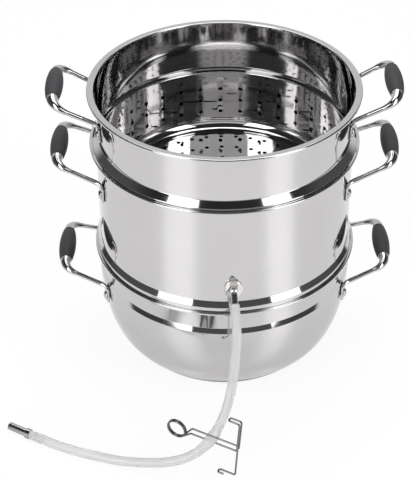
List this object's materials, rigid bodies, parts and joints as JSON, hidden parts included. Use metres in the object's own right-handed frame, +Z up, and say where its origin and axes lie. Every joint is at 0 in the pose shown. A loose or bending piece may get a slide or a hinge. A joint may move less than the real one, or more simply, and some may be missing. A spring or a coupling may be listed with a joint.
{
  "type": "steam juicer",
  "caption": "Stacked steam juicer: water pan, juice kettle with steam cone, drain spout and clamped hose, and perforated steamer basket, each with bent-rod side handles and soft grips.",
  "frame": {"origin": "centre of the base disc's underside, on the table", "axes": "+Z up along the pots' axis, -Y towards the drain spout, +X towards the right-hand handles"},
  "size_m": [0.4279, 0.4005, 0.3357],
  "materials": {
    "polished_steel": "mirror-polished stainless steel",
    "grip": "matte charcoal, soft to the touch",
    "gasket": "off-white silicone rubber",
    "hose": "milky translucent soft hose",
    "clamp_wire": "bright plated spring wire",
    "base_disc": "aluminium core clad in thin polished steel"
  },
  "bodies": {
    "pan": {"water_pan": "polished_steel", "pan_base_disc": "base_disc", "pan_handle_left": "polished_steel", "pan_grip_left": "grip", "pan_rivets_left": "polished_steel", "pan_handle_right": "polished_steel", "pan_grip_right": "grip", "pan_rivets_right": "polished_steel"},
    "kettle": {"juice_kettle": "polished_steel", "steam_cone": "polished_steel", "kettle_handle_left": "polished_steel", "kettle_grip_left": "grip", "kettle_rivets_left": "polished_steel", "kettle_handle_right": "polished_steel", "kettle_grip_right": "grip", "kettle_rivets_right": "polished_steel", "spout_tube": "polished_steel", "spout_outer_gasket": "gasket", "spout_inner_gasket": "gasket", "spout_washer": "polished_steel", "spout_nut": "polished_steel", "spout_lock_nut": "polished_steel", "drain_hose": "hose", "hose_end_tube": "polished_steel", "clamp_lower_jaw": "clamp_wire"},
    "basket": {"steamer_basket": "polished_steel", "basket_handle_left": "polished_steel", "basket_grip_left": "grip", "basket_rivets_left": "polished_steel", "basket_handle_right": "polished_steel", "basket_grip_right": "grip", "basket_rivets_right": "polished_steel"},
    "clamp": {"clamp_upper_jaw": "clamp_wire"}
  },
  "joints": [
    {"name": "kettle_lift", "type": "slide", "parent": "pan", "child": "kettle", "axis": [0, 0, 1], "range_m": [0, 0.06]},
    {"name": "basket_lift", "type": "slide", "parent": "kettle", "child": "basket", "axis": [0, 0, 1], "range_m": [0, 0.11]},
    {"name": "clamp_squeeze", "type": "hinge", "parent": "kettle", "child": "clamp", "pos_m": [-0.05701, -0.2163, 0.038], "axis": [-0.5, -0.866, 0], "range_deg": [0, 12], "stiffness_Nm_per_rad": 0.4, "springref_deg": -11.46}
  ]
}
